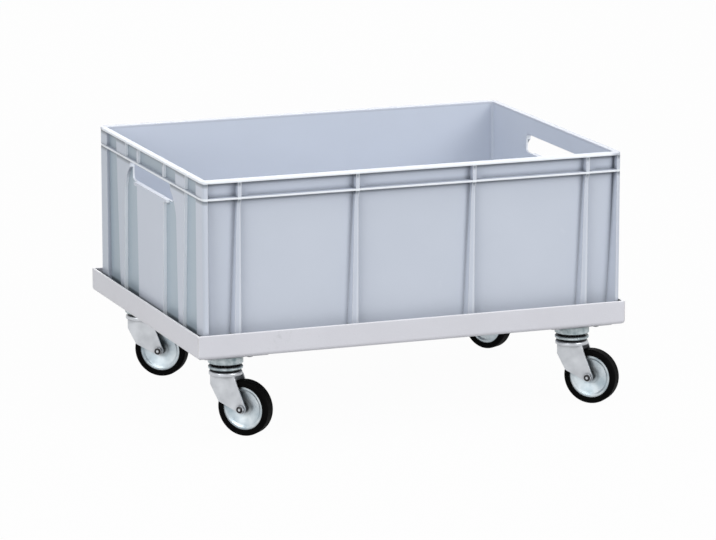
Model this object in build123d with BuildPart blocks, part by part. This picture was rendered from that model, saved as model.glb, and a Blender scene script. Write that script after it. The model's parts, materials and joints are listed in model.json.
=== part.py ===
from build123d import *
import math
import os

os.makedirs("parts", exist_ok=True)

# Lengths are in mm. X runs along the long side, Y to the back, Z up from the floor.

# Crate: overall size, its place in the frame, then its rim, flange and walls.
crate_len = 800
crate_wid = 600
crate_tall = 311.5
crate_right = 3.2
crate_back = -3.2
rim_thick = 4.2
rim_radius = 18
flange_thick = 3.7
flange_drop = 26.5
flush_inset = 0.5
wall = 3.5
side_flange = 15.5
side_draft = 12
end_flange = 8
end_draft = 1.5
tub_radius = 9
floor_thick = 3.5
floor_fillet = 4
edge_soft = 1.4

# Crate ends: raised panel, ribs, arches, corner posts and hand holes.
end_raise = 5.5
panel_top_half = 77
panel_foot_half = 69
end_rib_head = (144, 198)
end_rib_foot = (157.5, 177)
stub_half = 3
arch_wide = 60
arch_tall = 56
arch_lean = 0.25
post_in = 257
post_step = 2
post_thick = 8.5
post_lift = 4
post_root = 16
post_radius = 8
hole_half = 116
hole_tall = 34.5
hole_radius = 8
hole_under_flange = 0.3
sill_half = 95
sill_tall = 6
sill_radius = 2.5

# Crate sides: upright ribs that widen to the foot and flare out under the flange.
rib_xs = (111, 331)
rib_head_half = 3.25
rib_foot_half = 6.25
rib_root_half = 12.5
rib_foot_out = 13
rib_head_out = 10.5
rib_flare_tall = 20

# Crate foot: a ring to stand on and a shallow rib grid.
foot_wide = 12
foot_deep = 5
foot_rib = 3
foot_rib_ys = (90,)

# Frame: steel angle round the crate.
sheet = 4
rail_tall = 43
ledge_wide = 28
bend_radius = 7
rail_edge = 1
crate_clear = 4

# Corner plates, caster plates and their fixings.
corner_thick = 4
corner_inset = 18
corner_len = 118
corner_wid = 94
corner_cut = 26
plate_thick = 4
plate_len = 95
plate_wid = 67
plate_radius = 6
bolt_pitch_x = 75
bolt_pitch_y = 45
bolt_radius = 4
bolt_hole_radius = 4.5
bolt_head_radius = 7.5
bolt_head_tall = 3.4
bolt_head_taper = 35
nut_flats = 13
nut_thick = 3.5

# Casters: king pin places, wheel, fork and swivel head.
pin_inset_x = 74
pin_inset_y = 69
pin_radius = 7
pin_head_radius = 11
pin_head_tall = 4
wheel_radius = 50
wheel_width = 24
trail = 39.5
tyre_bore = 39.2
tyre_shoulder = 4
crown_clear = 7.4
crown_tall = 7
crown_radius = 30
crown_round = 4
fork_sheet = 3
fork_gap = 30
leg_rear = 21.5
leg_front = 26
leg_shoulder = 21
leg_waist_drop = 18
leg_knee_x = -5
leg_knee_rise = 10
leg_end_radius = 8.5
leg_soft = 0.9
race_neck_radius = 20
race_neck_tall = 3.2
race_radius = 31
race_tall = 8.9
race_chamfer = 1.6
ball_gap = 5
ball_ring_in = 14
ball_ring_out = 24
cup_radius = 31.5
cup_tall = 14.7
cup_lip = 8
axle_radius = 4
axle_flats = 13
axle_head = 5
axle_tail = 1.5
bush_radius = 8
disc_sheet = 2
disc_hub_radius = 13
disc_hub_in = 4.5
disc_dish_radius = 31.5
disc_rim_in = 35
disc_rim_inset = 2.5
run_fit = 0.05
press_gap = 0.02
clear = 0.3

# Rest angle of each swivel: degrees from +X towards the front.
swivels = {
    "front_left": (-1, -1, 47.5),
    "front_right": (1, -1, 45.5),
    "back_left": (-1, 1, 39),
    "back_right": (1, 1, 60),
}

# Heights worked out upwards from the floor.
crown_low = 2 * wheel_radius + crown_clear
crown_top = crown_low + crown_tall
race_top = crown_top + race_tall
cup_low = race_top + ball_gap
cup_top = cup_low + cup_tall
plate_top = cup_top + plate_thick
frame_low = plate_top + corner_thick
frame_top = frame_low + rail_tall
crate_low = frame_low + sheet
crate_top = crate_low + crate_tall
rim_low = crate_top - rim_thick
flange_low = rim_low - flange_drop - flange_thick
floor_low = crate_low + foot_deep
floor_top = floor_low + floor_thick

# Plan sizes worked out from the crate outwards.
frame_len = crate_len + 2 * (crate_clear + sheet)
frame_wid = crate_wid + 2 * (crate_clear + sheet)
pin_x = frame_len / 2 - pin_inset_x
pin_y = frame_wid / 2 - pin_inset_y
flush_x = crate_len / 2 - flush_inset
flush_y = crate_wid / 2 - flush_inset
end_top = crate_len / 2 - end_flange
end_foot = end_top - end_draft
side_top = crate_wid / 2 - side_flange
side_foot = side_top - side_draft


def save(piece, label):
    """Names a piece and writes its file."""
    piece.part.label = label
    export_step(piece.part, f"parts/{label}.step")


def level(height):
    """Flat plane over the crate's centre at a height."""
    return Plane((crate_right, crate_back, height))


def drafted(low, high, height):
    """Half width of a drafted tub wall at a height."""
    return low + (high - low) * (height - crate_low) / (rim_low - crate_low)


def make_rail(label, place, length):
    """One side of the frame: bent angle, mitred at both ends."""
    with BuildPart() as rail:
        with BuildSketch(place) as section:
            Rectangle(ledge_wide, sheet, align=Align.MIN)
            Rectangle(sheet, rail_tall, align=Align.MIN)
            heel = section.vertices().sort_by_distance((0, 0))[0]
            fillet(heel, bend_radius)
            bend = section.vertices().sort_by_distance((sheet, sheet))[0]
            fillet(bend, bend_radius - sheet)
            fillet(section.vertices().group_by(Axis.Y)[-1], rail_edge)
        extrude(amount=length / 2, both=True)
        for end in (1, -1):
            along = place.z_dir * end
            corner = place.origin + along * (length / 2)
            split(bisect_by=Plane(corner, z_dir=along + place.x_dir), keep=Keep.BOTTOM)
    save(rail, label)


def bolt_points(side_x, side_y):
    """Plan places of one caster's four bolts."""
    half_x, half_y = bolt_pitch_x / 2, bolt_pitch_y / 2
    x, y = side_x * pin_x, side_y * pin_y
    return [(x + i * half_x, y + j * half_y) for i in (-1, 1) for j in (-1, 1)]


def make_corner_plate(name, side_x, side_y):
    """Plate under a frame corner, with its inner corner cut off."""
    out_x = side_x * (frame_len / 2 - corner_inset)
    out_y = side_y * (frame_wid / 2 - corner_inset)
    in_x, in_y = out_x - side_x * corner_len, out_y - side_y * corner_wid
    with BuildPart() as corner_plate:
        with BuildSketch(Plane.XY.offset(plate_top)) as outline:
            with BuildLine():
                Polyline((in_x, in_y), (out_x, in_y), (out_x, out_y), (in_x, out_y), close=True)
            make_face()
            inner = outline.vertices().sort_by_distance((0, 0))[0]
            chamfer(inner, corner_cut)
            with Locations(*bolt_points(side_x, side_y)):
                Circle(bolt_hole_radius, mode=Mode.SUBTRACT)
        extrude(amount=corner_thick)
    save(corner_plate, f"corner_plate_{name}")


def make_caster_plate(name, side_x, side_y):
    """Top plate of a caster, bolted up against the corner plate."""
    with BuildPart() as caster_plate:
        with BuildSketch(Plane.XY.offset(cup_top)):
            with Locations((side_x * pin_x, side_y * pin_y)):
                RectangleRounded(plate_len, plate_wid, plate_radius)
            with Locations(*bolt_points(side_x, side_y)):
                Circle(bolt_hole_radius, mode=Mode.SUBTRACT)
        extrude(amount=plate_thick)
    save(caster_plate, f"caster_plate_{name}")


def make_swivel_head(name, upright, pin_axis):
    """Fixed cup and king pin, and the race and ball ring that turn with the fork."""
    bore = pin_radius + press_gap
    with BuildPart() as swivel_cup:
        with BuildSketch(upright):
            with BuildLine():
                Polyline(
                    (bore, cup_top - plate_thick),
                    (bore, cup_top),
                    (cup_radius - race_chamfer, cup_top),
                    (cup_radius, cup_top - race_chamfer),
                    (cup_radius, cup_low + race_chamfer / 2),
                    (cup_radius - race_chamfer / 2, cup_low),
                    (cup_radius - cup_lip, cup_low),
                    (cup_radius - cup_lip - plate_thick, cup_top - plate_thick),
                    close=True,
                )
            make_face()
        revolve(axis=pin_axis)
    save(swivel_cup, f"swivel_cup_{name}")

    head_top = crown_top - fork_sheet - clear
    with BuildPart() as king_pin:
        with BuildSketch(upright):
            with BuildLine():
                Polyline(
                    (0, cup_top),
                    (pin_radius, cup_top),
                    (pin_radius, head_top),
                    (pin_head_radius, head_top),
                    (pin_head_radius, head_top - pin_head_tall / 2),
                    (pin_head_radius - pin_head_tall / 2, head_top - pin_head_tall),
                    (0, head_top - pin_head_tall),
                    close=True,
                )
            make_face()
        revolve(axis=pin_axis)
    save(king_pin, f"king_pin_{name}")

    loose = pin_radius + clear
    ring_low = crown_top + race_neck_tall
    with BuildPart() as lower_race:
        with BuildSketch(upright):
            with BuildLine():
                Polyline(
                    (loose, crown_top),
                    (race_neck_radius, crown_top),
                    (race_neck_radius, ring_low),
                    (race_radius - race_chamfer, ring_low),
                    (race_radius, ring_low + race_chamfer),
                    (race_radius, race_top - race_chamfer),
                    (race_radius - race_chamfer, race_top),
                    (loose, race_top),
                    close=True,
                )
            make_face()
        revolve(axis=pin_axis)
    save(lower_race, f"lower_race_{name}")

    with BuildPart() as ball_ring:
        with BuildSketch(upright):
            with BuildLine():
                Polyline(
                    (ball_ring_in, race_top),
                    (ball_ring_out, race_top),
                    (ball_ring_out, cup_low - clear),
                    (ball_ring_in, cup_low - clear),
                    close=True,
                )
            make_face()
        revolve(axis=pin_axis)
    save(ball_ring, f"ball_ring_{name}")


def make_fork(name, upright, pin_axis):
    """Pressed fork: a round crown with a turned-down rim, and two tapering legs."""
    crown_under = crown_top - fork_sheet
    waist_z = crown_low - leg_waist_drop
    knee = (leg_knee_x, wheel_radius + leg_knee_rise)
    hub = (trail, wheel_radius)
    with BuildPart() as fork:
        with BuildSketch(upright):
            with BuildLine():
                Polyline(
                    (crown_radius, crown_top - crown_round),
                    (crown_radius, crown_low),
                    (crown_radius - fork_sheet, crown_low),
                    (crown_radius - fork_sheet, crown_under),
                    (pin_radius + run_fit, crown_under),
                    (pin_radius + run_fit, crown_top),
                    (crown_radius - crown_round, crown_top),
                )
                RadiusArc(
                    (crown_radius - crown_round, crown_top),
                    (crown_radius, crown_top - crown_round),
                    crown_round,
                )
            make_face()
        revolve(axis=pin_axis)
        for near in (fork_gap / 2, -fork_gap / 2 - fork_sheet):
            with BuildSketch(upright.offset(near)):
                with BuildLine():
                    Polyline(
                        hub,
                        (leg_front, crown_low),
                        (leg_shoulder, crown_under + leg_soft),
                        (-leg_shoulder, crown_under + leg_soft),
                        (-leg_rear, crown_low),
                        (-leg_rear, waist_z),
                        knee,
                        close=True,
                    )
                make_face()
                with Locations(hub):
                    Circle(leg_end_radius)
                make_hull()
                with Locations(hub):
                    Circle(axle_radius + press_gap, mode=Mode.SUBTRACT)
            extrude(amount=fork_sheet)
    save(fork, f"fork_{name}")


def make_axle(name, axle, side, trail_dir):
    """Axle bolt with its head on the far leg and a nut on the near leg."""
    leg_out = fork_gap / 2 + fork_sheet
    head_face = Plane(axle + side * leg_out, x_dir=trail_dir, z_dir=side)
    nut_face = Plane(axle - side * leg_out, x_dir=trail_dir, z_dir=-side)
    with BuildPart() as axle_bolt:
        with BuildSketch(head_face):
            RegularPolygon(axle_flats / 2, 6, major_radius=False)
        extrude(amount=axle_head)
        with BuildSketch(head_face):
            Circle(axle_radius)
        extrude(amount=-(2 * leg_out + axle_head + axle_tail))
    save(axle_bolt, f"axle_bolt_{name}")

    with BuildPart() as axle_nut:
        with BuildSketch(nut_face):
            RegularPolygon(axle_flats / 2, 6, major_radius=False)
            Circle(axle_radius + press_gap, mode=Mode.SUBTRACT)
        extrude(amount=axle_head)
    save(axle_nut, f"axle_nut_{name}")


def make_wheel(name, axle, side, trail_dir):
    """Solid tyre on two pressed discs, turning on a hub bush."""
    across = Plane(axle, x_dir=side, z_dir=trail_dir)
    spin = Axis(axle, side)
    half = wheel_width / 2
    with BuildPart() as tyre:
        with BuildSketch(across) as section:
            with Locations((0, tyre_bore)):
                Rectangle(wheel_width, wheel_radius - tyre_bore, align=(Align.CENTER, Align.MIN))
            fillet(section.vertices().group_by(Axis.Y)[-1], tyre_shoulder)
        revolve(axis=spin)
    save(tyre, f"tyre_{name}")

    rim_out = tyre_bore - run_fit
    rim_face = half - disc_rim_inset
    for letter, end in (("a", 1), ("b", -1)):
        with BuildPart() as wheel_disc:
            with BuildSketch(across):
                with BuildLine():
                    Polyline(
                        (end * press_gap, rim_out),
                        (end * rim_face, rim_out),
                        (end * rim_face, disc_rim_in),
                        (end * (rim_face - disc_sheet), disc_dish_radius),
                        (end * disc_hub_in, disc_hub_radius),
                        (end * disc_hub_in, bush_radius + press_gap),
                        (end * (disc_hub_in - disc_sheet), bush_radius + press_gap),
                        (end * (disc_hub_in - disc_sheet), disc_hub_radius),
                        (end * (rim_face - 2 * disc_sheet), disc_dish_radius),
                        (end * (rim_face - disc_sheet), disc_rim_in),
                        (end * (rim_face - disc_sheet), rim_out - disc_sheet),
                        (end * press_gap, rim_out - disc_sheet),
                        close=True,
                    )
                make_face()
            revolve(axis=spin)
        save(wheel_disc, f"wheel_disc_{letter}_{name}")

    with BuildPart() as hub_bush:
        with BuildSketch(Plane(axle, x_dir=trail_dir, z_dir=side)):
            Circle(bush_radius)
            Circle(axle_radius + run_fit, mode=Mode.SUBTRACT)
        extrude(amount=fork_gap / 2 - clear, both=True)
    save(hub_bush, f"hub_bush_{name}")


# Frame rails.
front = Plane((0, -frame_wid / 2, frame_low), x_dir=(0, 1, 0), z_dir=(1, 0, 0))
back = Plane((0, frame_wid / 2, frame_low), x_dir=(0, -1, 0), z_dir=(-1, 0, 0))
left = Plane((-frame_len / 2, 0, frame_low), x_dir=(1, 0, 0), z_dir=(0, -1, 0))
right = Plane((frame_len / 2, 0, frame_low), x_dir=(-1, 0, 0), z_dir=(0, 1, 0))
make_rail("front_rail", front, frame_len)
make_rail("back_rail", back, frame_len)
make_rail("left_rail", left, frame_wid)
make_rail("right_rail", right, frame_wid)

# Corner plates and casters.
for name, (side_x, side_y, angle) in swivels.items():
    turn = math.radians(angle)
    trail_dir = Vector(math.cos(turn), -math.sin(turn), 0)
    side = Vector(math.sin(turn), math.cos(turn), 0)
    foot = Vector(side_x * pin_x, side_y * pin_y, 0)
    axle = foot + trail_dir * trail + Vector(0, 0, wheel_radius)
    upright = Plane(foot, x_dir=trail_dir, z_dir=-side)
    pin_axis = Axis(foot, (0, 0, 1))
    make_corner_plate(name, side_x, side_y)
    make_caster_plate(name, side_x, side_y)
    make_swivel_head(name, upright, pin_axis)
    make_fork(name, upright, pin_axis)
    make_axle(name, axle, side, trail_dir)
    make_wheel(name, axle, side, trail_dir)

# Fixings of all four caster plates.
fixings = [point for x, y, angle in swivels.values() for point in bolt_points(x, y)]
nut_low = frame_low
with BuildPart() as plate_bolts:
    with BuildSketch(Plane.XY.offset(cup_top)):
        with Locations(*fixings):
            Circle(bolt_head_radius)
    extrude(amount=-bolt_head_tall, taper=bolt_head_taper)
    with BuildSketch(Plane.XY.offset(cup_top)):
        with Locations(*fixings):
            Circle(bolt_radius)
    extrude(amount=nut_low + nut_thick - cup_top)
save(plate_bolts, "plate_bolts")

with BuildPart() as plate_nuts:
    with BuildSketch(Plane.XY.offset(nut_low)):
        with Locations(*fixings):
            RegularPolygon(nut_flats / 2, 6, major_radius=False)
            Circle(bolt_radius + press_gap, mode=Mode.SUBTRACT)
    extrude(amount=nut_thick)
save(plate_nuts, "plate_nuts")

# Crate: a drafted tub with everything else added to its outside.
with BuildPart() as crate:
    with BuildSketch(level(crate_low)):
        RectangleRounded(2 * end_foot, 2 * side_foot, tub_radius)
    with BuildSketch(level(rim_low)):
        RectangleRounded(2 * end_top, 2 * side_top, tub_radius)
    loft()

    # Rim lip and the flange below it.
    with BuildSketch(level(rim_low)):
        RectangleRounded(crate_len, crate_wid, rim_radius)
    extrude(amount=rim_thick)
    with BuildSketch(level(flange_low)):
        RectangleRounded(2 * flush_x, 2 * flush_y, rim_radius)
    extrude(amount=flange_thick)

    # Corner posts, set behind the flange, clear of the frame's bend and spread at the root.
    for side_x in (1, -1):
        for side_y in (1, -1):
            out_x = side_x * (flush_x - post_step)
            out_y = side_y * (flush_y - post_step)
            face_x, in_y = out_x - side_x * post_thick, side_y * post_in
            for height, spread in ((crate_low + post_lift, post_root), (flange_low, 0), (rim_low, 0)):
                in_x = face_x - side_x * spread
                with BuildSketch(level(height)) as post:
                    with BuildLine():
                        Polyline((in_x, in_y), (out_x, in_y), (out_x, out_y), (face_x, out_y), close=True)
                    make_face()
                    fillet(post.vertices().sort_by_distance((0, 0))[-1], post_radius)
            loft(ruled=True)

    # End walls: centre panel with stubs above the flange, upright ribs that arch over
    # to the flange, and a sill under the hand hole.
    hole_top = flange_low - hole_under_flange
    sill = hole_top - hole_tall
    arch_low = flange_low - arch_tall
    rib_lean = (end_rib_head[0] - end_rib_foot[0]) / (rim_low - crate_low)
    arch_foot = end_rib_foot[0] + rib_lean * (arch_low - crate_low)
    arch_head = arch_foot - arch_wide
    rib_middle = (end_rib_head[0] + end_rib_head[1]) / 2
    for end in (1, -1):
        embed_x = crate_right + end * (end_foot - wall / 2)
        embed = Plane((embed_x, crate_back, 0), x_dir=(0, end, 0), z_dir=(end, 0, 0))
        with BuildSketch(embed):
            with BuildLine():
                Polyline(
                    (-panel_foot_half, crate_low),
                    (panel_foot_half, crate_low),
                    (panel_top_half, sill),
                    (panel_top_half, flange_low),
                    (-panel_top_half, flange_low),
                    (-panel_top_half, sill),
                    close=True,
                )
            make_face()
            for turned in (1, -1):
                with BuildLine():
                    Polyline(
                        (turned * end_rib_foot[0], crate_low),
                        (turned * end_rib_foot[1], crate_low),
                        (turned * end_rib_head[1], rim_low),
                        (turned * end_rib_head[0], rim_low),
                        close=True,
                    )
                make_face()
                with BuildLine():
                    Polyline(
                        (turned * arch_head, flange_low),
                        (turned * rib_middle, flange_low),
                        (turned * rib_middle, arch_low),
                        (turned * arch_foot, arch_low),
                    )
                    TangentArc(
                        (turned * arch_foot, arch_low),
                        (turned * arch_head, flange_low),
                        tangent=(-turned * arch_lean, 1),
                    )
                make_face()
                with Locations((turned * (panel_top_half - stub_half), (flange_low + rim_low) / 2)):
                    Rectangle(2 * stub_half, rim_low - flange_low)
            with Locations((0, sill - sill_tall / 2)):
                RectangleRounded(2 * sill_half, sill_tall, sill_radius)
        extrude(amount=end_top + end_raise - (end_foot - wall / 2))

    # Side walls: upright ribs, flared out to meet the flange, and stubs above it.
    head_y = drafted(side_foot, side_top, flange_low)
    flare_low = flange_low - rib_flare_tall
    foot_out = side_foot + rib_foot_out
    head_out = head_y + rib_head_out
    flare_y = foot_out + (head_out - foot_out) * (flare_low - crate_low) / (flange_low - crate_low)
    rib_spots = [x * mirrored for x in rib_xs for mirrored in (1, -1)]
    for turned in (1, -1):
        for x in rib_spots:
            sections = (
                (crate_low, side_foot - wall / 2, foot_out, rib_root_half, rib_foot_half),
                (flange_low, head_y - wall / 2, head_out, rib_head_half, rib_head_half),
            )
            for height, root_y, face_y, root_half, face_half in sections:
                with BuildSketch(level(height)):
                    with BuildLine():
                        Polyline(
                            (x - root_half, turned * root_y),
                            (x + root_half, turned * root_y),
                            (x + face_half, turned * face_y),
                            (x - face_half, turned * face_y),
                            close=True,
                        )
                    make_face()
            loft()
            upright_rib = Plane(
                (crate_right + x, crate_back, 0), x_dir=(0, turned, 0), z_dir=(turned, 0, 0)
            )
            with BuildSketch(upright_rib):
                with BuildLine():
                    Polyline(
                        (flare_y, flare_low),
                        (head_y, flare_low),
                        (head_y, rim_low),
                        (flush_y, rim_low),
                        (flush_y, flange_low),
                    )
                    TangentArc(
                        (flare_y, flare_low),
                        (flush_y, flange_low),
                        tangent=(head_out - foot_out, flange_low - crate_low),
                    )
                make_face()
            extrude(amount=rib_head_half, both=True)

    # Inside of the tub, with a rounded floor edge.
    with BuildSketch(level(floor_top)):
        RectangleRounded(
            2 * (drafted(end_foot, end_top, floor_top) - wall),
            2 * (drafted(side_foot, side_top, floor_top) - wall),
            tub_radius - wall,
        )
    with BuildSketch(level(crate_top)):
        RectangleRounded(
            2 * (drafted(end_foot, end_top, crate_top) - wall),
            2 * (drafted(side_foot, side_top, crate_top) - wall),
            tub_radius - wall,
        )
    loft(mode=Mode.SUBTRACT)

    # Hand holes through both ends.
    with BuildSketch(Plane((crate_right, crate_back, 0), x_dir=(0, 1, 0), z_dir=(1, 0, 0))):
        with Locations((0, (sill + hole_top) / 2)):
            RectangleRounded(2 * hole_half, hole_tall, hole_radius)
    extrude(amount=crate_len / 2, both=True, mode=Mode.SUBTRACT)

    # Foot: pockets between the ring and the rib grid.
    with BuildSketch(level(crate_low)):
        RectangleRounded(2 * (end_foot - foot_wide), 2 * (side_foot - foot_wide), tub_radius)
        for x in rib_xs:
            with Locations((x, 0), (-x, 0)):
                Rectangle(foot_rib, 2 * side_foot, mode=Mode.SUBTRACT)
        for y in foot_rib_ys:
            with Locations((0, y), (0, -y)):
                Rectangle(2 * end_foot, foot_rib, mode=Mode.SUBTRACT)
    extrude(amount=foot_deep, mode=Mode.SUBTRACT)

    # Softened rim and floor edges.
    rim_top_face = crate.faces().filter_by(Axis.Z).sort_by(Axis.Z)[-1]
    fillet(rim_top_face.edges(), edge_soft)
    inner_floor = crate.faces().filter_by(Axis.Z).sort_by_distance((crate_right, crate_back, floor_top))[0]
    fillet(inner_floor.edges(), floor_fillet)
save(crate, "crate")
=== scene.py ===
import json
import math

import bmesh
import bpy
from mathutils import Matrix, Vector


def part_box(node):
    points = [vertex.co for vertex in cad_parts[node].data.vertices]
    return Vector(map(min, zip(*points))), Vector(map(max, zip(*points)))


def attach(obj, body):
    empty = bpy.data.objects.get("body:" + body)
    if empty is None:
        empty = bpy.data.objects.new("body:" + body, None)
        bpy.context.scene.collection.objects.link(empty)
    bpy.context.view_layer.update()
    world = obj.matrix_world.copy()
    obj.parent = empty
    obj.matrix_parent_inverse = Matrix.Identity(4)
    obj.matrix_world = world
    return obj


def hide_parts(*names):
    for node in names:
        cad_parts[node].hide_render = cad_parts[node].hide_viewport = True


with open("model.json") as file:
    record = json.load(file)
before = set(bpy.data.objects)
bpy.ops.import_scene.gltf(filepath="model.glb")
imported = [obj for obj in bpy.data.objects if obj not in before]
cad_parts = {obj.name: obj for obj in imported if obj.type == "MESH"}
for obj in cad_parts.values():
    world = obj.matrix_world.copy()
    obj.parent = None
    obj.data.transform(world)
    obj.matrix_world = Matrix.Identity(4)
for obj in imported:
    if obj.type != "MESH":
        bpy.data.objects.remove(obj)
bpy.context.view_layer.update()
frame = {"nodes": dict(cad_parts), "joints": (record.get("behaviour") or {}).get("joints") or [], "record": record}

scene = bpy.context.scene
nodes = frame["nodes"]
joints = {joint["name"]: joint for joint in frame["joints"]}
corners = ("front_left", "front_right", "back_left", "back_right")


# Node tools

grid_columns = 8
grid_step = (220, -200)


def put(tree, kind, **values):
    """Adds a node at the next place of a grid and sets its plain properties."""
    row, column = divmod(len(tree.nodes), grid_columns)
    node = tree.nodes.new(kind)
    node.location = (column * grid_step[0], row * grid_step[1])
    for key, value in values.items():
        setattr(node, key, value)
    return node


def feed(tree, end, socket):
    """Links another node's output to a socket, or sets a plain value on it."""
    if isinstance(end, bpy.types.NodeSocket):
        tree.links.new(end, socket)
    else:
        socket.default_value = end


def combine(tree, operation, first, second):
    """Two values joined by a math operation; each is a number or another node's output."""
    node = put(tree, "ShaderNodeMath", operation=operation)
    feed(tree, first, node.inputs[0])
    feed(tree, second, node.inputs[1])
    return node.outputs[0]


def times(tree, *values):
    """Product of two or more values."""
    total = values[0]
    for value in values[1:]:
        total = combine(tree, "MULTIPLY", total, value)
    return total


def remap(tree, value, old, new):
    """Moves a value from one range to another, held inside the new one."""
    node = put(tree, "ShaderNodeMapRange")
    tree.links.new(value, node.inputs["Value"])
    for key, number in zip(("From Min", "From Max", "To Min", "To Max"), (*old, *new)):
        node.inputs[key].default_value = number
    return node.outputs["Result"]


def rising(tree, value, limits):
    """0 below the first limit, 1 above the second."""
    return remap(tree, value, limits, (0, 1))


def falling(tree, value, limits):
    """1 below the first limit, 0 above the second."""
    return remap(tree, value, limits, (1, 0))


def opposite(tree, mask):
    """1 where a mask is 0, and 0 where it is 1."""
    return falling(tree, mask, (0, 1))


def between(tree, value, limits):
    """1 where a value lies between the inner two of four limits, 0 outside the outer two."""
    return times(tree, rising(tree, value, limits[:2]), falling(tree, value, limits[2:]))


def noise(tree, vector, scale, detail, roughness=0.5):
    """Noise texture on a vector, with a scale that is a number or another node's output."""
    texture = put(tree, "ShaderNodeTexNoise")
    feed(tree, scale, texture.inputs["Scale"])
    texture.inputs["Detail"].default_value = detail
    texture.inputs["Roughness"].default_value = roughness
    tree.links.new(vector, texture.inputs["Vector"])
    return texture.outputs["Fac"]


def shade_mix(tree, factor, low, high):
    """Colour between two colours; each end is a plain colour or another node's output."""
    node = put(tree, "ShaderNodeMix", data_type="RGBA")
    tree.links.new(factor, node.inputs["Factor"])
    for key, end in (("A", low), ("B", high)):
        socket = [s for s in node.inputs if s.name == key and s.type == "RGBA"][0]
        feed(tree, (*end, 1) if isinstance(end, tuple) else end, socket)
    return [s for s in node.outputs if s.type == "RGBA"][0]


def paint_layers(tree, colour, layers):
    """Lays colours over a body colour in turn, each by the mask of its zone and its share."""
    for zone, share, shade in layers:
        cover = remap(tree, zone, (0, 1), (0, share))
        colour = shade_mix(tree, cover, colour, shade)
    return colour


def object_place(tree):
    """Object coordinates, whole and split along X, Y and Z."""
    place = put(tree, "ShaderNodeTexCoord").outputs["Object"]
    along = put(tree, "ShaderNodeSeparateXYZ")
    tree.links.new(place, along.inputs[0])
    return place, along.outputs


square_faces = (0.7, 0.9)


def facing_along(tree, axis):
    """1 on faces square to an axis, from either side."""
    facing = put(tree, "ShaderNodeSeparateXYZ")
    tree.links.new(put(tree, "ShaderNodeNewGeometry").outputs["True Normal"], facing.inputs[0])
    return rising(tree, combine(tree, "ABSOLUTE", facing.outputs[axis], 0), square_faces)


# Shared surface effects


def new_group(name, inputs, outputs):
    """Empty shader group with named float inputs and outputs."""
    tree = bpy.data.node_groups.new(name, "ShaderNodeTree")
    for key, start in inputs.items():
        socket = tree.interface.new_socket(key, in_out="INPUT", socket_type="NodeSocketFloat")
        socket.default_value = start
    for key, kind in outputs.items():
        tree.interface.new_socket(key, in_out="OUTPUT", socket_type=kind)
    return tree, put(tree, "NodeGroupInput"), put(tree, "NodeGroupOutput")


noise_middle = (0.3, 0.7)
mottle_detail = 4
grain_detail = 3
rub_patch_scale = 6
rub_patch_detail = 2
rub_streak_detail = 6
rub_streak_roughness = 0.7
rub_start = 0.55
rub_fade = (0, 0.12)


def make_grain_group():
    """Broad mottle, fine grain and sparse rub marks, all on Object coordinates."""
    tree, source, sink = new_group(
        "surface_grain",
        {"Broad Scale": 9.0, "Fine Scale": 900.0, "Rub Scale": 40.0, "Rub Cover": 0.3},
        {"Mottle": "NodeSocketFloat", "Grain": "NodeSocketFloat", "Rub": "NodeSocketFloat"},
    )
    place = put(tree, "ShaderNodeTexCoord").outputs["Object"]
    mottle = noise(tree, place, source.outputs["Broad Scale"], mottle_detail)
    tree.links.new(rising(tree, mottle, noise_middle), sink.inputs["Mottle"])
    fine = noise(tree, place, source.outputs["Fine Scale"], grain_detail)
    tree.links.new(rising(tree, fine, noise_middle), sink.inputs["Grain"])
    patch = noise(tree, place, rub_patch_scale, rub_patch_detail)
    streak = noise(tree, place, source.outputs["Rub Scale"], rub_streak_detail, rub_streak_roughness)
    start = combine(tree, "SUBTRACT", rub_start, source.outputs["Rub Cover"])
    over = combine(tree, "SUBTRACT", times(tree, patch, streak), start)
    tree.links.new(rising(tree, over, rub_fade), sink.inputs["Rub"])
    return tree


bevel_samples = 6
gap_samples = 8
edge_turn = (0.99, 0.8)
edge_open = (0.6, 0.85)
crevice_shut = (0.95, 0.25)


def make_edge_group():
    """Softened normal, a mask along outside edges and a mask in corners and gaps."""
    tree, source, sink = new_group(
        "soft_edges",
        {"Radius": 0.0012, "Reach": 0.02},
        {"Normal": "NodeSocketVector", "Edge": "NodeSocketFloat", "Crevice": "NodeSocketFloat"},
    )
    round_over = put(tree, "ShaderNodeBevel", samples=bevel_samples)
    tree.links.new(source.outputs["Radius"], round_over.inputs["Radius"])
    flat = put(tree, "ShaderNodeNewGeometry")
    facing = put(tree, "ShaderNodeVectorMath", operation="DOT_PRODUCT")
    tree.links.new(round_over.outputs["Normal"], facing.inputs[0])
    tree.links.new(flat.outputs["Normal"], facing.inputs[1])
    shut = put(tree, "ShaderNodeAmbientOcclusion", samples=gap_samples)
    tree.links.new(source.outputs["Reach"], shut.inputs["Distance"])
    turned = rising(tree, facing.outputs["Value"], edge_turn)
    opened = rising(tree, shut.outputs["AO"], edge_open)
    tree.links.new(times(tree, turned, opened), sink.inputs["Edge"])
    tree.links.new(rising(tree, shut.outputs["AO"], crevice_shut), sink.inputs["Crevice"])
    tree.links.new(round_over.outputs["Normal"], sink.inputs["Normal"])
    return tree


grain_group = make_grain_group()
edge_group = make_edge_group()


# Finishes


def new_finish(name, grain_values, edge_values):
    """Material with the two shared groups placed and its shader ready."""
    finish = bpy.data.materials.new(name)
    finish.use_nodes = True
    tree = finish.node_tree
    tree.nodes.clear()
    shader = put(tree, "ShaderNodeBsdfPrincipled")
    surface = put(tree, "ShaderNodeOutputMaterial")
    tree.links.new(shader.outputs["BSDF"], surface.inputs["Surface"])
    grain = put(tree, "ShaderNodeGroup", node_tree=grain_group)
    edges = put(tree, "ShaderNodeGroup", node_tree=edge_group)
    for group, values in ((grain, grain_values), (edges, edge_values)):
        for key, value in values.items():
            group.inputs[key].default_value = value
    return finish, tree, shader, grain.outputs, edges.outputs


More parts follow.
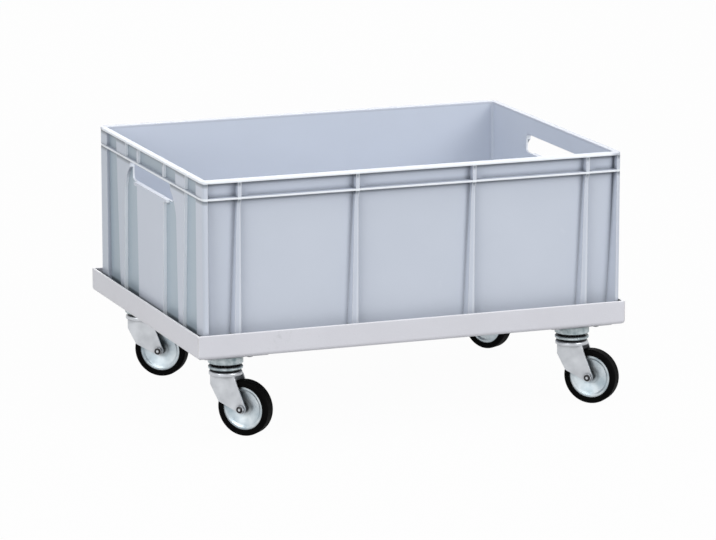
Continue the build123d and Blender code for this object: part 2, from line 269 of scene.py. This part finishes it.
def close_finish(tree, shader, colour, sheen, roughness):
    """Sets the colour, and a roughness that a mask moves between two values."""
    tree.links.new(colour, shader.inputs["Base Color"])
    tree.links.new(remap(tree, sheen, (0, 1), roughness), shader.inputs["Roughness"])


def add_relief(tree, shader, grain, edges, strength, distance):
    """Fine grain as relief over the softened normal."""
    bump = put(tree, "ShaderNodeBump")
    bump.inputs["Strength"].default_value = strength
    bump.inputs["Distance"].default_value = distance
    tree.links.new(grain["Grain"], bump.inputs["Height"])
    tree.links.new(edges["Normal"], bump.inputs["Normal"])
    tree.links.new(bump.outputs["Normal"], shader.inputs["Normal"])


# Zones of the crate that take painted shade and painted highlights: distances from its middle planes, and heights
# above the floor, in metres

crate_middle = {"X": 0.0032, "Y": -0.0032}
lip_reach = {"X": (0.3934, 0.3944), "Y": (0.2925, 0.2935)}
pocket_reach = (0.3894, 0.3900, 0.3940, 0.3965)
end_wall_reach = (0.3888, 0.3892, 0.3972, 0.3978)
lit_flank_span = (-0.290, -0.270, 0.160, 0.200)
far_end_shade_span = (0.085, 0.140)
under_flange = (0.4316, 0.4320)
over_flange = (0.4357, 0.4361)
under_rim = (0.4618, 0.4622)
rim_shade = (0.4535, 0.4590, 0.4618, 0.4622)
flange_shade = (0.4235, 0.4290, 0.4316, 0.4320)
rail_seam_shade = (0.1500, 0.1510, 0.1868, 0.1910)
far_rims = {"X": (0.378, 0.386), "Y": (0.268, 0.276)}
long_wall_ribs = (-0.331, -0.111, 0.111, 0.331)
rib_lit_side = (0.0034, 0.0044, 0.0160, 0.0240)
rib_lit_edge = (0.0010, 0.0022, 0.0052, 0.0070)
outward_turn = (0.02, 0.04)


def from_middle(tree, along, axis):
    """Distance from the crate's middle plane along X or Y."""
    return combine(tree, "ABSOLUTE", combine(tree, "SUBTRACT", along[axis], crate_middle[axis]), 0)


def outside_of_tub(tree, place):
    """1 on faces turned away from the crate's middle, 0 on those inside it."""
    level = put(tree, "ShaderNodeVectorMath", operation="MULTIPLY")
    tree.links.new(place, level.inputs[0])
    level.inputs[1].default_value = (1, 1, 0)
    away = put(tree, "ShaderNodeVectorMath", operation="DOT_PRODUCT")
    tree.links.new(level.outputs["Vector"], away.inputs[0])
    tree.links.new(put(tree, "ShaderNodeNewGeometry").outputs["True Normal"], away.inputs[1])
    return rising(tree, away.outputs["Value"], outward_turn)


def beside_ribs(tree, along, reach):
    """1 on the right of each rib of the long walls, within a reach from the rib's middle."""
    total = 0
    for rib in long_wall_ribs:
        limits = [crate_middle["X"] + rib + limit for limit in reach]
        total = combine(tree, "ADD", total, between(tree, along["X"], limits))
    return total


def mark_crate_zones(tree):
    """Masks of the crate's zones for painted shade and painted highlights: sunk end pockets, the far end, rib
    sides, rim and flange faces, the shade under them, the rail's seam, the rim top and the far rims.
    """
    place, along = object_place(tree)
    height = along["Z"]
    far = {axis: from_middle(tree, along, axis) for axis in crate_middle}
    endwise = facing_along(tree, "X")
    sideways = facing_along(tree, "Y")
    flat = facing_along(tree, "Z")
    outside = outside_of_tub(tree, place)
    long_wall = times(tree, sideways, outside)
    end_wall = between(tree, far["X"], end_wall_reach)
    above = rising(tree, height, over_flange)
    rim_gap = times(tree, above, falling(tree, height, under_rim))
    wall = combine(tree, "ADD", rim_gap, falling(tree, height, under_flange))
    rim = rising(tree, height, under_rim)
    outer = [rising(tree, far[axis], lip_reach[axis]) for axis in far]
    distant = [rising(tree, along[axis], far_rims[axis]) for axis in far]
    # Painted highlight on the outer faces of the rim and flange.
    lip_highlight = times(tree, combine(tree, "MAXIMUM", *outer), opposite(tree, wall), opposite(tree, flat))
    shades = [between(tree, height, limits) for limits in (rim_shade, flange_shade)]
    # Painted shade: the end walls' sunk pockets take a darker colour, darker still above the flange.
    pocket = times(tree, between(tree, far["X"], pocket_reach), endwise)
    return {
        "pocket": pocket,
        "rim_pocket": times(tree, pocket, above),
        # Painted shade: the end walls grow darker towards the back, in the zone named back.
        "back": times(tree, rising(tree, along["Y"], far_end_shade_span), wall, endwise, end_wall),
        # Painted shade: dark bands under the rim and the flange, and along the rail's seam at the foot of the end
        # walls.
        "lip_shade": times(tree, combine(tree, "ADD", *shades), outside),
        "seam": times(tree, between(tree, height, rail_seam_shade), endwise, outside),
        # Painted light on the end walls' front-facing sides, and a painted highlight on the lit edge of each
        # long-wall rib.
        "lit_flank": times(tree, end_wall, wall, sideways, between(tree, along["Y"], lit_flank_span)),
        "rib_side": times(tree, beside_ribs(tree, along, rib_lit_side), long_wall),
        "rib_edge_highlight": times(tree, beside_ribs(tree, along, rib_lit_edge), long_wall),
        "lip_highlight": lip_highlight,
        # Painted light on the rim's top.
        "lit_rim_top": times(tree, flat, rim),
        # Painted shade on the back and right rims.
        "shaded_far_rim": times(tree, combine(tree, "MAXIMUM", *distant), rim),
    }


crate_blue_grey = ((0.522, 0.566, 0.650), (0.540, 0.584, 0.668))
# Painted shade for the end walls' sunk pockets, darker above the flange.
crate_pocket_shade = (0.380, 0.460, 0.531)
crate_rim_pocket_shade = (0.330, 0.395, 0.455)
# Painted shade for the back part of the end walls.
crate_far_end_shade = (0.290, 0.355, 0.410)
crate_rub = (0.575, 0.615, 0.690)
# Painted shade in corners and gaps.
crate_crevice_shade = (0.13, 0.15, 0.19)
# Painted shadow under the rim and flange and along the rail's seam.
crate_shadow = (0.07, 0.09, 0.11)
# Painted light for the end walls' front-facing sides and the ribs' lit edges.
crate_painted_light = (0.84, 0.88, 0.93)
# Painted highlight on the rim and flange faces.
crate_lip_highlight = (0.86, 0.90, 0.94)
# Painted light on the rim's top, as lit from above.
crate_lit_rim_top = (0.84, 0.86, 0.91)
# Painted highlight along the crate's outside edges.
crate_edge_highlight = (0.84, 0.86, 0.90)
# Painted shade for the back and right rims.
crate_shaded_far_rim = (0.45, 0.48, 0.55)
# Shares of the painted corner shade on the walls and in the sunk pockets, and beside ribs in shade and where light
# falls.
wall_and_pocket_crevice = (0.88, 0.35)
shaded_and_lit_rib = (1, 0.2)


def make_crate_plastic():
    """Satin moulded plastic, pale blue grey, with painted highlights along its edges, on the faces of the rim and
    flange, on the rim top and on the lit sides of the ribs, and painted shade in its corners, sunk end pockets,
    far end and far rims, under the rim and flange and along the rail's seam.
    """
    finish, tree, shader, grain, edges = new_finish(
        "crate_plastic",
        {"Broad Scale": 7, "Fine Scale": 1400, "Rub Scale": 60, "Rub Cover": 0.13},
        {"Radius": 0.0024, "Reach": 0.009},
    )
    zone = mark_crate_zones(tree)
    # Painted shade in corners, weaker in the sunk pockets and on the lit side of each long-wall rib.
    open_share = remap(tree, zone["pocket"], (0, 1), wall_and_pocket_crevice)
    lit_share = remap(tree, zone["rib_side"], (0, 1), shaded_and_lit_rib)
    # Layers of zone, share and colour over the body colour: painted shade and painted highlights, with the rub
    # marks among them.
    layers = (
        (zone["pocket"], 1, crate_pocket_shade),
        (zone["rim_pocket"], 1, crate_rim_pocket_shade),
        (zone["back"], 0.42, crate_far_end_shade),
        (grain["Rub"], 1, crate_rub),
        (times(tree, edges["Crevice"], open_share, lit_share), 1, crate_crevice_shade),
        (zone["lip_shade"], 0.72, crate_shadow),
        (zone["seam"], 0.8, crate_shadow),
        (zone["lit_flank"], 0.85, crate_painted_light),
        (zone["rib_edge_highlight"], 0.25, crate_painted_light),
        (zone["lip_highlight"], 0.75, crate_lip_highlight),
        (zone["lit_rim_top"], 0.10, crate_lit_rim_top),
        (edges["Edge"], 0.75, crate_edge_highlight),
        (zone["shaded_far_rim"], 0.85, crate_shaded_far_rim),
    )
    colour = paint_layers(tree, shade_mix(tree, grain["Mottle"], *crate_blue_grey), layers)
    close_finish(tree, shader, colour, grain["Grain"], roughness=(0.36, 0.46))
    add_relief(tree, shader, grain, edges, strength=0.10, distance=0.0003)
    return finish


paint_grey = ((0.600, 0.604, 0.652), (0.625, 0.630, 0.680))
paint_rub = (0.54, 0.55, 0.59)
# Painted shade in the frame's gaps, painted light on the rails' top and painted highlights along its edges.
paint_gap_shade = (0.04, 0.04, 0.045)
paint_rail_top_highlight = (0.93, 0.93, 0.95)
paint_edge_highlight = (0.95, 0.95, 0.97)
rail_top = (0.1930, 0.1936)
deep_gap = (0.55, 1)


def make_frame_paint():
    """Pale grey stove paint with a faint orange peel and small rubs, painted shade in its gaps, and painted
    highlights on the rails' top and along its edges.
    """
    finish, tree, shader, grain, edges = new_finish(
        "frame_paint",
        {"Broad Scale": 11, "Fine Scale": 420, "Rub Scale": 90, "Rub Cover": 0.15},
        {"Radius": 0.0028, "Reach": 0.04},
    )
    along = object_place(tree)[1]
    # Painted light on the rails' top faces.
    top = times(tree, rising(tree, along["Z"], rail_top), facing_along(tree, "Z"))
    layers = (
        (grain["Rub"], 1, paint_rub),
        (rising(tree, edges["Crevice"], deep_gap), 0.8, paint_gap_shade),
        (top, 0.7, paint_rail_top_highlight),
        (edges["Edge"], 0.85, paint_edge_highlight),
    )
    colour = paint_layers(tree, shade_mix(tree, grain["Mottle"], *paint_grey), layers)
    close_finish(tree, shader, colour, grain["Grain"], roughness=(0.30, 0.42))
    add_relief(tree, shader, grain, edges, strength=0.15, distance=0.0004)
    return finish


zinc_rub = (0.46, 0.49, 0.52)
# Painted shade in the zinc's gaps and painted highlights along its edges.
zinc_gap_shade = (0.03, 0.03, 0.035)
zinc_edge_highlight = (0.84, 0.86, 0.88)


def make_zinc(name, cloud_scale, dark, light):
    """Bright zinc plate: cool grey metal, cloudy and a little rough, with painted shade in its gaps and painted
    highlights along its edges.
    """
    finish, tree, shader, grain, edges = new_finish(
        name,
        {"Broad Scale": cloud_scale, "Fine Scale": 1100, "Rub Scale": 160, "Rub Cover": 0.2},
        {"Radius": 0.0006, "Reach": 0.012},
    )
    layers = (
        (grain["Rub"], 1, zinc_rub),
        (edges["Crevice"], 0.95, zinc_gap_shade),
        (edges["Edge"], 0.6, zinc_edge_highlight),
    )
    colour = paint_layers(tree, shade_mix(tree, grain["Mottle"], dark, light), layers)
    close_finish(tree, shader, colour, grain["Mottle"], roughness=(0.30, 0.44))
    add_relief(tree, shader, grain, edges, strength=0.08, distance=0.0002)
    shader.inputs["Metallic"].default_value = 0.85
    return finish


greased_black = ((0.012, 0.012, 0.013), (0.040, 0.040, 0.042))


def make_greased_steel():
    """Greased bearing steel."""
    finish, tree, shader, grain, edges = new_finish(
        "greased_steel",
        {"Broad Scale": 120, "Fine Scale": 1500, "Rub Scale": 200, "Rub Cover": 0.2},
        {"Radius": 0.0003, "Reach": 0.005},
    )
    colour = shade_mix(tree, grain["Mottle"], *greased_black)
    close_finish(tree, shader, colour, grain["Grain"], roughness=(0.28, 0.45))
    add_relief(tree, shader, grain, edges, strength=0.05, distance=0.0002)
    shader.inputs["Metallic"].default_value = 0.7
    return finish


rubber_black = ((0.0012, 0.0012, 0.0013), (0.0030, 0.0030, 0.0032))
rubber_dust = (0.008, 0.008, 0.0083)
rubber_edge = (0.007, 0.007, 0.007)


def make_rubber():
    """Solid black tyre rubber: matt, with a fine skin and a few dusty rubs."""
    finish, tree, shader, grain, edges = new_finish(
        "tyre_rubber",
        {"Broad Scale": 30, "Fine Scale": 800, "Rub Scale": 120, "Rub Cover": 0.16},
        {"Radius": 0.0008, "Reach": 0.01},
    )
    layers = (
        (grain["Rub"], 1, rubber_dust),
        (edges["Edge"], 0.3, rubber_edge),
    )
    colour = paint_layers(tree, shade_mix(tree, grain["Mottle"], *rubber_black), layers)
    close_finish(tree, shader, colour, grain["Grain"], roughness=(0.50, 0.68))
    add_relief(tree, shader, grain, edges, strength=0.25, distance=0.0004)
    shader.inputs["Specular IOR Level"].default_value = 0.03
    return finish


finishes = {
    "crate_plastic": make_crate_plastic(),
    "frame_steel": make_frame_paint(),
    "zinc_steel": make_zinc("zinc_plate", 45, (0.48, 0.50, 0.53), (0.60, 0.62, 0.65)),
    "dark_steel": make_greased_steel(),
    "tyre_rubber": make_rubber(),
}
disc_zinc = make_zinc("zinc_disc", 38, (0.36, 0.44, 0.49), (0.70, 0.75, 0.78))
# The swivel cup and lower race take a much darker copy of the zinc: painted shade for their place under the caster
# plate.
shaded_head_zinc = make_zinc("zinc_head_shaded", 95, (0.17, 0.23, 0.25), (0.58, 0.64, 0.66))
own_finish = {"wheel_disc": disc_zinc, "swivel_cup": shaded_head_zinc, "lower_race": shaded_head_zinc}

for subpart in frame["record"]["subparts"]:
    carried = nodes[subpart["node"]]
    finish = finishes[subpart["material_slot"]]
    for kind, own in own_finish.items():
        if subpart["node"].startswith(kind):
            finish = own
    carried.data.materials.clear()
    carried.data.materials.append(finish)


# New pieces

merge_distance = 1e-6


def finish_piece(name, form, slot, body, smooth_angle):
    """Turns a bmesh into a piece with its finish, on its body."""
    bmesh.ops.remove_doubles(form, verts=form.verts, dist=merge_distance)
    bmesh.ops.recalc_face_normals(form, faces=form.faces)
    mesh = bpy.data.meshes.new(name)
    form.to_mesh(mesh)
    form.free()
    mesh.shade_smooth()
    mesh.set_sharp_from_angle(angle=math.radians(smooth_angle))
    mesh.materials.append(finishes[slot])
    piece = bpy.data.objects.new(name, mesh)
    scene.collection.objects.link(piece)
    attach(piece, body)
    return piece


def spin_ring(form, section, place, along, steps):
    """Adds a ring to a bmesh: a closed section of radius and height, spun about an axis."""
    first = along.orthogonal().normalized()
    points = [form.verts.new(place + first * radius + along * height) for radius, height in section]
    sides = [form.edges.new((points[k - 1], points[k])) for k in range(len(points))]
    whole_turn = 2 * math.pi
    bmesh.ops.spin(
        form, geom=points + sides, cent=place, axis=along, angle=whole_turn, steps=steps, use_merge=True
    )


ball_count = 24
ball_ring_radius = 0.0235
ball_smooth_angle = 80


def make_ball_row(corner):
    """Row of bearing balls between the lower race and the cup."""
    low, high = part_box(f"ball_ring_{corner}")
    middle = (low + high) / 2
    ball_radius = (high.z - low.z) / 2
    form = bmesh.new()
    for turn in range(ball_count):
        angle = 2 * math.pi * turn / ball_count
        spot = middle + Vector((math.cos(angle), math.sin(angle), 0)) * ball_ring_radius
        bmesh.ops.create_icosphere(form, subdivisions=2, radius=ball_radius, matrix=Matrix.Translation(spot))
    row = finish_piece(f"ball_row_{corner}", form, "dark_steel", f"swivel_{corner}", ball_smooth_angle)
    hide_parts(f"ball_ring_{corner}")


nut_tall = 0.005
# Painted shade: a dark ring standing in for the shade round the axle nut.
nut_shade_ring_section = (
    (0.00405, 0.0),
    (0.0062, 0.0),
    (0.0060, 0.0009),
    (0.0043, 0.0018),
    (0.0026, 0.0019),
    (0.0026, 0.00155),
    (0.00405, 0.00155),
)
nut_shade_ring_steps = 32
nut_shade_ring_smooth_angle = 35


def make_nut_shade_ring(corner):
    """Dark ring on the axle nut, a dark piece standing in for the shade round the nut, with the bolt's end bright
    in its middle.
    """
    low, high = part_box(f"axle_nut_{corner}")
    along = -Vector(joints[f"roll_{corner}"]["axis"])
    face = (low + high) / 2 + along * nut_tall / 2
    form = bmesh.new()
    spin_ring(form, nut_shade_ring_section, face, along, nut_shade_ring_steps)
    finish_piece(f"nut_shade_ring_{corner}", form, "dark_steel", f"swivel_{corner}", nut_shade_ring_smooth_angle)


bead_radius = 0.0026
bead_pitch = 0.0030
bead_sides = 6
crest_swell = 1.0
trough_swell = 0.72
tip_swell = 0.3
bead_smooth_angle = 60


def make_bead(form, start, run, out):
    """One weld bead: a quarter round section under the rail, drawn out along the seam in ripples."""
    steps = 2 * int(run.length / bead_pitch)
    down = Vector((0, 0, -1))
    section = [form.verts.new(start)]
    for side in range(bead_sides + 1):
        angle = math.pi / 2 * side / bead_sides
        reach = out * math.cos(angle) + down * math.sin(angle)
        section.append(form.verts.new(start + reach * bead_radius * tip_swell))
    face = form.faces.new(section)
    swell = tip_swell
    for step in range(1, steps + 1):
        drawn = bmesh.ops.extrude_face_region(form, geom=[face])["geom"]
        face = [part for part in drawn if isinstance(part, bmesh.types.BMFace)][0]
        bmesh.ops.translate(form, vec=run / steps, verts=face.verts)
        wanted = crest_swell if step % 2 else trough_swell
        if step == steps:
            wanted = tip_swell
        middle = start + run * (step / steps)
        grow = Vector((1, 1, 1)) * (wanted / swell)
        bmesh.ops.scale(form, vec=grow, space=Matrix.Translation(-middle), verts=face.verts)
        swell = wanted


def make_corner_weld(corner):
    """Beads along the outer edges of a corner plate, under the rails."""
    low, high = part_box(f"corner_plate_{corner}")
    side_x = 1 if corner.endswith("right") else -1
    side_y = 1 if corner.startswith("back") else -1
    out_x = high.x if side_x > 0 else low.x
    out_y = high.y if side_y > 0 else low.y
    form = bmesh.new()
    inset = 2 * bead_radius
    along_x = Vector((high.x - low.x - 2 * inset, 0, 0))
    along_y = Vector((0, high.y - low.y - 2 * inset, 0))
    make_bead(form, Vector((low.x + inset, out_y, high.z)), along_x, Vector((0, side_y, 0)))
    make_bead(form, Vector((out_x, low.y + inset, high.z)), along_y, Vector((side_x, 0, 0)))
    finish_piece(f"corner_weld_{corner}", form, "frame_steel", "frame", bead_smooth_angle)


tyre_half_width = 0.012
tyre_wall_lines = (0.0415, 0.0440)
tyre_line_section = ((0.0, -0.00035), (0.00045, -0.00035), (0.00045, 0.00035), (0.0, 0.00035))
tread_line_sink = 0.0004
wall_line_sink = 0.0002
tyre_line_steps = 72
tyre_line_smooth_angle = 50


def make_tyre_lines(corner):
    """Fine moulded lines: two raised rings on each side wall and the parting line round the tread."""
    low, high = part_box(f"tyre_{corner}")
    middle = (low + high) / 2
    along = Vector(joints[f"roll_{corner}"]["axis"]).normalized()
    tread_root = (high.z - low.z) / 2 - tread_line_sink
    wall_root = tyre_half_width - wall_line_sink
    sections = [[(tread_root + rise, shift) for rise, shift in tyre_line_section]]
    for side in (1, -1):
        for ring in tyre_wall_lines:
            sections.append([(ring + shift, side * (wall_root + rise)) for rise, shift in tyre_line_section])
    form = bmesh.new()
    for section in sections:
        spin_ring(form, section, middle, along, tyre_line_steps)
    finish_piece(f"tyre_lines_{corner}", form, "tyre_rubber", f"wheel_{corner}", tyre_line_smooth_angle)


for corner in corners:
    make_ball_row(corner)
    make_nut_shade_ring(corner)
    make_corner_weld(corner)
    make_tyre_lines(corner)


# Floor, light and camera

floor_half = 12.0
floor_mesh = bpy.data.meshes.new("studio_floor")
floor_form = bmesh.new()
bmesh.ops.create_grid(floor_form, x_segments=1, y_segments=1, size=floor_half)
floor_form.to_mesh(floor_mesh)
floor_form.free()
floor = bpy.data.objects.new("studio_floor", floor_mesh)
scene.collection.objects.link(floor)


def white_for_views(tree):
    """1 for rays that show the background: from the camera, glossy and through glass."""
    path = put(tree, "ShaderNodeLightPath").outputs
    total = path["Is Camera Ray"]
    for key in ("Is Glossy Ray", "Is Transmission Ray"):
        total = combine(tree, "MAXIMUM", total, path[key])
    return total


shadow_share = 0.03
paper_grey = (0.50, 0.50, 0.50, 1)
paper = bpy.data.materials.new("studio_paper")
paper.use_nodes = True
tree = paper.node_tree
tree.nodes.clear()
matt = put(tree, "ShaderNodeBsdfDiffuse")
matt.inputs["Color"].default_value = paper_grey
glow = put(tree, "ShaderNodeEmission")
blend = put(tree, "ShaderNodeMixShader")
tree.links.new(times(tree, white_for_views(tree), 1 - shadow_share), blend.inputs[0])
tree.links.new(matt.outputs[0], blend.inputs[1])
tree.links.new(glow.outputs[0], blend.inputs[2])
tree.links.new(blend.outputs[0], put(tree, "ShaderNodeOutputMaterial").inputs["Surface"])
floor_mesh.materials.append(paper)

ambient = 0.53
world = bpy.data.worlds.new("studio_world")
scene.world = world
world.use_nodes = True
tree = world.node_tree
tree.nodes.clear()
sky = put(tree, "ShaderNodeBackground")
sky.inputs["Color"].default_value = (1, 1, 1, 1)
tree.links.new(remap(tree, white_for_views(tree), (0, 1), (ambient, 1)), sky.inputs["Strength"])
tree.links.new(sky.outputs[0], put(tree, "ShaderNodeOutputWorld").inputs["Surface"])

softbox_target = Vector((0, 0, 0.3))
softboxes = {
    "overhead_softbox": {"place": (0.2, -0.4, 3.6), "size": 2.4, "power": 46},
    "right_softbox": {"place": (2.4, -4.2, 2.6), "size": 2.0, "power": 97},
    "left_softbox": {"place": (-4.0, -2.6, 2.4), "size": 3.0, "power": 101},
    "back_softbox": {"place": (1.2, 4.6, 2.4), "size": 3.0, "power": 54},
}

for name, values in softboxes.items():
    lamp = bpy.data.lights.new(name, "AREA")
    lamp.size = values["size"]
    lamp.energy = values["power"]
    softbox = bpy.data.objects.new(name, lamp)
    softbox.location = values["place"]
    aim = softbox_target - Vector(values["place"])
    softbox.rotation_euler = aim.to_track_quat("-Z", "Y").to_euler()
    scene.collection.objects.link(softbox)

camera_place = (-2.686234, -7.046605, 1.841794)
camera_tilt = 77.867
camera_turn = -20.924
camera = bpy.data.cameras.new("photo_camera")
camera.sensor_fit = "HORIZONTAL"
camera.sensor_width = 36
camera.lens = 210.447
camera.clip_end = 100
eye = bpy.data.objects.new("photo_camera", camera)
eye.location = camera_place
eye.rotation_euler = (math.radians(camera_tilt), 0, math.radians(camera_turn))
scene.collection.objects.link(eye)
scene.camera = eye
scene.view_settings.view_transform = "Standard"
